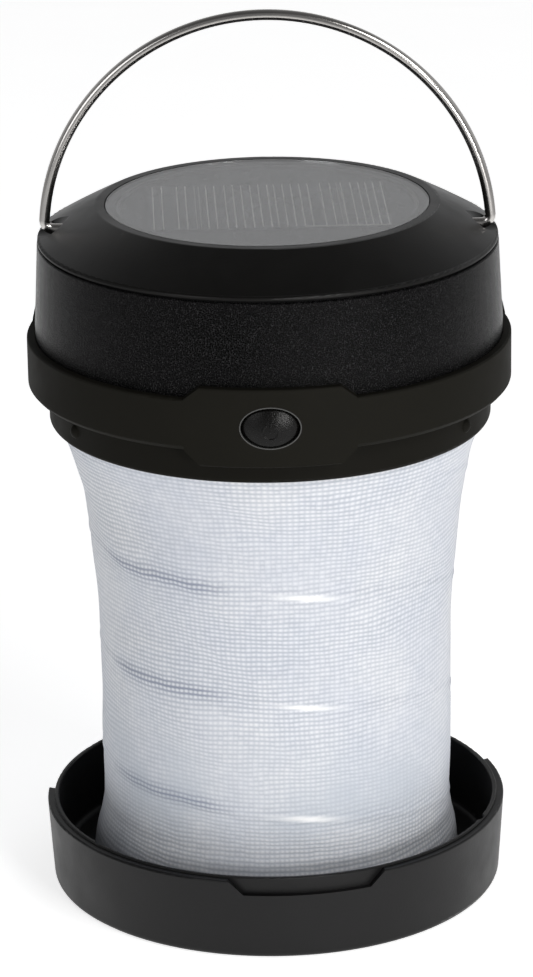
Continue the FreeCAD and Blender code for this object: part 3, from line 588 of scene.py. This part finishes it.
def make_fabric():
    m = Mat("woven_sleeve")
    uv = m.n("ShaderNodeUVMap", uv_map="weave").outputs[0]
    sep = m.n("ShaderNodeSeparateXYZ")
    m.link(uv, sep.inputs[0])
    obj = m.coords()
    wob = m.noise(obj, 120.0, 2.0)
    wob2 = m.noise(obj, 420.0, 2.0)
    # thread knuckles: one bright dot in each cell, rows parted by a thin darker line
    vv = m.math("ADD", sep.outputs[1], m.math("MULTIPLY", wob, 0.30))
    vv = m.math("ADD", vv, m.math("MULTIPLY", wob2, 0.24))
    uu = m.math("ADD", sep.outputs[0], m.math("MULTIPLY", wob2, 0.36))
    cu = m.math("COSINE", m.math("MULTIPLY", uu, 2 * math.pi))
    cv = m.math("COSINE", m.math("MULTIPLY", vv, 2 * math.pi))
    row = m.map(cv, -1, 1, 1, 0)
    col = m.map(cu, -1, 1, 0, 1)
    dot = m.math("MULTIPLY", m.math("POWER", row, 0.8), m.math("ADD", m.math("MULTIPLY", col, 0.55), 0.45))
    # every knuckle is a little lighter or darker than the next
    cell = m.n("ShaderNodeCombineXYZ")
    m.link(m.math("ROUND", uu), cell.inputs[0])
    m.link(m.math("FLOOR", vv), cell.inputs[1])
    each = m.n("ShaderNodeTexWhiteNoise", noise_dimensions="2D")
    m.link(cell.outputs[0], each.inputs["Vector"])
    thread = m.noise(obj, 2600.0, 2.0, 0.6)
    big = m.noise(obj, 48.0, 3.0, 0.6)
    # the weave shows more strongly in some places than in others
    clear = m.map(m.noise(obj, 36.0, 2.0), 0.35, 0.65, 0.60, 1.15)
    soft = m.math("ADD", m.math("MULTIPLY", m.math("SUBTRACT", dot, 0.5), clear), 0.5)
    soft = m.math("ADD", soft, m.math("MULTIPLY", m.math("SUBTRACT", each.outputs["Value"], 0.5), 0.22))
    shade = m.ramp(m.math("ADD", m.math("MULTIPLY", soft, 0.88), m.math("MULTIPLY", thread, 0.12)),
                   [(0.0, (0.480, 0.508, 0.558)), (0.5, (0.652, 0.668, 0.708)), (0.95, (0.785, 0.792, 0.815))])
    cloud = m.ramp(big, [(0.34, (0.90, 0.915, 0.95)), (0.64, (1.0, 1.0, 1.0))])
    mix = m.n("ShaderNodeMix", data_type="RGBA", blend_type="MULTIPLY")
    mix.inputs[0].default_value = 1.0
    m.link(shade, mix.inputs[6])
    m.link(cloud, mix.inputs[7])
    # blue-grey shadow patches near the base
    low = m.n("ShaderNodeAttribute", attribute_name="low").outputs["Fac"]
    patch = m.map(m.noise(obj, 75.0, 2.0, 0.5), 0.42, 0.62, 0.0, 1.0)
    base = m.n("ShaderNodeMix", data_type="RGBA")
    m.link(m.math("MULTIPLY", low, m.math("ADD", m.math("MULTIPLY", patch, 0.50), 0.22)), base.inputs[0])
    m.link(mix.outputs[2], base.inputs[6])
    base.inputs[7].default_value = (0.50, 0.54, 0.60, 1)
    # gaps between the rows are darker beside the wire: partly the wire showing through, partly painted shade
    att = m.n("ShaderNodeAttribute", attribute_name="wire_and_painted_shade").outputs["Fac"]
    gap = m.map(dot, 0.05, 0.70, 1.0, 0.10)
    dark = m.n("ShaderNodeMix", data_type="RGBA")
    m.link(m.math("MULTIPLY", m.math("MULTIPLY", att, gap), 0.80), dark.inputs[0])
    m.link(base.outputs[2], dark.inputs[6])
    dark.inputs[7].default_value = (0.20, 0.23, 0.31, 1)
    # the cloth over the wire is smoother (lower roughness), and its colour is mixed toward white there as a painted
    # highlight at a few set angles around the sleeve
    smooth_crest_highlight = m.n("ShaderNodeAttribute", attribute_name="smooth_crest_highlight").outputs["Fac"]
    top = m.n("ShaderNodeMix", data_type="RGBA")
    m.link(m.math("MULTIPLY", smooth_crest_highlight, 0.9), top.inputs[0])
    m.link(dark.outputs[2], top.inputs[6])
    top.inputs[7].default_value = (0.96, 0.96, 0.96, 1)
    m.link(top.outputs[2], m.p.inputs["Base Color"])
    rough = m.map(thread, 0.3, 0.7, 0.55, 0.72)
    m.link(m.math("SUBTRACT", rough, m.math("MULTIPLY", smooth_crest_highlight, 0.36)), m.p.inputs["Roughness"])
    height = m.math("ADD", soft, m.math("MULTIPLY", thread, 0.3))
    height = m.math("MULTIPLY", height, m.math("SUBTRACT", 1.0, m.math("MULTIPLY", smooth_crest_highlight, 0.75)))
    m.link(m.bump(height, 0.55, 0.00010), m.p.inputs["Normal"])
    m.p.inputs["Sheen Weight"].default_value = 0.2
    m.p.inputs["Sheen Roughness"].default_value = 0.4
    m.p.inputs["Specular IOR Level"].default_value = 0.4
    return m.m


fabric = make_fabric()
cloth = sleeve("fabric_sleeve", 0, HEM_STEP, fabric)
hem = sleeve("sleeve_hem", HEM_STEP, 2 * ROWS, fabric)
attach(hem, "shade")
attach(cloth, "base")
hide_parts("fabric_shade")
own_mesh(cloth)


# ------------------------------------------------------------------ coil spring behind the sleeve
def coil():
    th = np.arange(math.radians(-1395 + 90), math.radians(90 + 360), math.radians(4.0))
    pts = []
    for t in th:
        z = COIL_FRONT - COIL_PITCH * t / (2 * math.pi) + 2.9 * (math.cos(t) - 1)
        if z < 5.9 or z > 92.0:
            continue
        r = float(smooth_profile(np.array([z]))[0]) - 0.42 - 0.75
        r = min(r, 36.8)
        pts.append((r * math.sin(t) + 0.3, -r * math.cos(t), z))
    # the path is reversed to run from the bottom end up
    pts = pts[::-1]
    p0, p1 = np.array(pts[0]), np.array(pts[-1])
    return tube("coil_wire", pts, 0.5, M["wire"], 14)


spring = coil()
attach(spring, "base")
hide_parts("coil_spring")
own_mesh(spring)


# ------------------------------------------------------------------ handle
def bail():
    a0 = math.asin((PIVOT_Z + PIVOT_BEND - BAIL_CZ) / BAIL_R)
    xe, ze = BAIL_R * math.cos(a0), BAIL_CZ + BAIL_R * math.sin(a0)
    cx = xe - PIVOT_BEND
    right = [(x, 0, PIVOT_Z) for x in np.linspace(PIN_IN, cx, 6)[:-1]]
    right += [(cx + PIVOT_BEND * math.sin(a), 0, ze - PIVOT_BEND * math.cos(a)) for a in np.linspace(0, math.pi / 2, 22)]
    arc_ = [(BAIL_R * math.cos(a), 0, BAIL_CZ + BAIL_R * math.sin(a)) for a in np.linspace(a0, math.pi - a0, 220)][1:-1]
    left = [(-p[0], 0, p[2]) for p in right[::-1]]
    return tube("bail", right + arc_ + left, WIRE_R, M["inox"], 28)


wire = bail()
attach(wire, "handle")
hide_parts("handle_wire")


# ------------------------------------------------------------------ power button
def button():
    nr, na = 64, 224
    e = 0.55
    a = np.linspace(0, 2 * math.pi, na, endpoint=False)
    rows = []
    s = np.concatenate([np.linspace(0.012, 0.90, nr), np.linspace(0.905, 1.0, 16)])
    for q in s:
        x = BTN_A * q * np.cos(a)
        z = BTN_B * q * np.sin(a)
        y = -45.72 + BTN_DOME - np.sqrt(BTN_DOME ** 2 - x ** 2 - z ** 2)
        # rolled edge
        t = np.clip((q - 0.90) / 0.10, 0, 1)
        y = y + e * (1 - np.sqrt(np.clip(1 - t ** 2, 0, 1)))
        # raised power mark: an open ring and a bar, lower than the middle
        mx, mz = x, z + 0.55
        rad = np.hypot(mx, mz)
        ang = np.abs(np.arctan2(mx, mz))
        ring = np.clip(1 - (np.abs(rad - 1.42) / 0.17) ** 4, 0, 1) * np.clip((ang - math.radians(30)) / 0.12, 0, 1)
        bar = np.clip(1 - (np.abs(mx) / 0.17) ** 4, 0, 1) * np.clip((mz + 0.1) / 0.1, 0, 1) * np.clip((1.75 - mz) / 0.1, 0, 1)
        y = y - 0.17 * np.maximum(ring, bar)
        rows.append(np.stack([x, y, z + BTN_Z], -1))
    x, z = BTN_A * np.cos(a), BTN_B * np.sin(a)
    for y in (-43.6, -42.4, -40.9):
        rows.append(np.stack([x, np.full(na, y), z + BTN_Z], -1))
    fx, fz = (BTN_A + 1.1) * np.cos(a), (BTN_B + 0.9) * np.sin(a)
    for y in (-40.9, -40.2):
        rows.append(np.stack([fx, np.full(na, y), fz + BTN_Z], -1))
    sx, sz_ = 1.4 * np.cos(a), 1.4 * np.sin(a)
    for y in (-40.2, -39.9):
        rows.append(np.stack([sx, np.full(na, y), sz_ + BTN_Z], -1))
    V = np.concatenate([np.array([[0, -45.72, BTN_Z]])] + rows + [np.array([[0, -39.9, BTN_Z]])]) * MM
    # the mark's bar crosses the middle
    V[0, 1] -= 0.17 * MM
    F = []
    for j in range(na):
        F.append((0, 1 + j, 1 + (j + 1) % na))
    for i in range(len(rows) - 1):
        o0, o1 = 1 + i * na, 1 + (i + 1) * na
        for j in range(na):
            k = (j + 1) % na
            F.append((o0 + j, o1 + j, o1 + k, o0 + k))
    last, o = len(V) - 1, 1 + (len(rows) - 1) * na
    for j in range(na):
        F.append((o + j, last, o + (j + 1) % na))
    ob = make_object("button_cap", V, F, M["button"])
    recalc(ob)
    return ob


btn = button()
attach(btn, "button")
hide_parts("power_button")


# ------------------------------------------------------------------ printed silver on the solar cell
FINGERS = [-21.0, -19.3, -16.5, -14.9, -11.05, -9.5, -7.6, -6.05, -4.5, -2.8, -1.26, 0.4, 1.65, 3.25, 4.8,
           6.4, 7.95, 10.3, 12.1, 14.2, 16.0, 17.5, 18.8, 20.2, 21.7]
FAINT = [-13.2, -12.4, 13.4]


def strips(name, specs, mat):
    """Thin raised bars on the cell: (x0, x1, y0, y1, height) before the cell's turn."""
    V, F = [], []
    c, s = math.cos(math.radians(CELL_TURN)), math.sin(math.radians(CELL_TURN))
    for x0, x1, y0, y1, h in specs:
        o = len(V)
        b = min(0.02, (x1 - x0) * 0.3)
        for z, inset in ((CELL_TOP - 0.01, 0), (CELL_TOP + h * 0.6, 0), (CELL_TOP + h, b)):
            for x, y in ((x0 + inset, y0 + inset), (x1 - inset, y0 + inset), (x1 - inset, y1 - inset), (x0 + inset, y1 - inset)):
                V.append(((x * c - y * s) * MM, (x * s + y * c) * MM, z * MM))
        F.append((o + 3, o + 2, o + 1, o))
        for l in (0, 4):
            for j in range(4):
                k = (j + 1) % 4
                F.append((o + l + j, o + l + k, o + l + 4 + k, o + l + 4 + j))
        F.append((o + 8, o + 9, o + 10, o + 11))
    return make_object(name, V, F, mat, smooth=False)


spec = [(x - 0.10, x + 0.10, -14.4, 14.4, 0.04) for x in FINGERS]
spec += [(x - 0.035, x + 0.035, -14.2, 14.2, 0.03) for x in FAINT]
lines = strips("cell_fingers", spec, M["silver"])
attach(lines, "head")
bars = strips("cell_busbar", [(6.4, 21.9, -14.75, -14.42, 0.05)], M["silver"])
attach(bars, "head")


# ------------------------------------------------------------------ window with a ground edge
def lathe(name, prof, mat, n=256):
    """Closed solid of revolution about Z from a profile of (r, z) in mm that starts and ends on the axis."""
    a = np.linspace(0, 2 * math.pi, n, endpoint=False)
    rings = [(r, z) for r, z in prof if r > 1e-6]
    V = [(0, 0, prof[0][1] * MM)]
    for r, z in rings:
        V += [(r * math.cos(t) * MM, r * math.sin(t) * MM, z * MM) for t in a]
    V.append((0, 0, prof[-1][1] * MM))
    F = [(0, 1 + (j + 1) % n, 1 + j) for j in range(n)]
    for i in range(len(rings) - 1):
        o0, o1 = 1 + i * n, 1 + (i + 1) * n
        F += [(o0 + j, o0 + (j + 1) % n, o1 + (j + 1) % n, o1 + j) for j in range(n)]
    o, last = 1 + (len(rings) - 1) * n, len(V) - 1
    F += [(o + j, o + (j + 1) % n, last) for j in range(n)]
    ob = make_object(name, V, F, mat)
    recalc(ob)
    return ob


def arc_pts(cr, cz, r, a0, a1, k):
    return [(cr + r * math.cos(math.radians(t)), cz + r * math.sin(math.radians(t))) for t in np.linspace(a0, a1, k)]


WR, WZ0, WZ1 = 29.93, 131.74, 132.9
glass_prof = [(0, WZ0), (12, WZ0), (24, WZ0), (WR - 0.40, WZ0), (WR - 0.22, WZ0), (WR - 0.15, WZ0), (WR - 0.1, WZ0 + 0.04),
              (WR, WZ0 + 0.15), (WR, WZ0 + 0.3), (WR, WZ1 - 0.25)]
glass_prof += arc_pts(WR - 0.30, WZ1 - 0.21, 0.30, 0, 90, 11)
glass_prof += [(WR - 0.33, WZ1 + 0.09), (WR - 0.38, WZ1 + 0.09), (WR - 0.6, WZ1 + 0.09), (24, WZ1 + 0.09), (12, WZ1 + 0.09),
               (0, WZ1 + 0.09)]
pane = lathe("window_pane", glass_prof, M["window"])
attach(pane, "head")
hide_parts("solar_window")

# ------------------------------------------------------------------ floor
me = bpy.data.meshes.new("floor")
me.from_pydata([(-4, -4, 0), (4, -4, 0), (4, 4, 0), (-4, 4, 0)], [], [(0, 1, 2, 3)])
floor = bpy.data.objects.new("floor", me)
fm = Mat("floor_paper")
fc = fm.coords()
fn = fm.noise(fc, 30.0, 3.0)
fs = fm.n("ShaderNodeSeparateXYZ")
fm.link(fc, fs.inputs[0])


def fstep(fac, a, b):
    n = fm.n("ShaderNodeMapRange")
    n.interpolation_type = "SMOOTHSTEP"
    for i, v in enumerate((a, b, 1.0, 0.0)):
        n.inputs[i + 1].default_value = v
    fm.link(fac, n.inputs[0])
    return n.outputs[0]


# a white sheet under and behind the lantern on a grey table
sheet = fm.math("MULTIPLY", fstep(fm.math("ABSOLUTE", fs.outputs[0]), 0.15, 0.62),
                fstep(fm.math("MULTIPLY", fs.outputs[1], -1.0), 0.10, 0.52))
paper = fm.ramp(fn, [(0.3, (0.90, 0.90, 0.90)), (0.7, (0.915, 0.915, 0.915))])
fmix = fm.n("ShaderNodeMix", data_type="RGBA")
fm.link(sheet, fmix.inputs[0])
fmix.inputs[6].default_value = (0.50, 0.50, 0.50, 1)
fm.link(paper, fmix.inputs[7])
fm.link(fmix.outputs[2], fm.p.inputs["Base Color"])
fm.p.inputs["Emission Color"].default_value = (1, 1, 1, 1)
fm.link(fm.math("ADD", fm.math("MULTIPLY", sheet, 0.46), 0.22), fm.p.inputs["Emission Strength"])
fm.p.inputs["Roughness"].default_value = 0.9
fm.p.inputs["Specular IOR Level"].default_value = 0.1
me.materials.append(fm.m)
scene.collection.objects.link(floor)
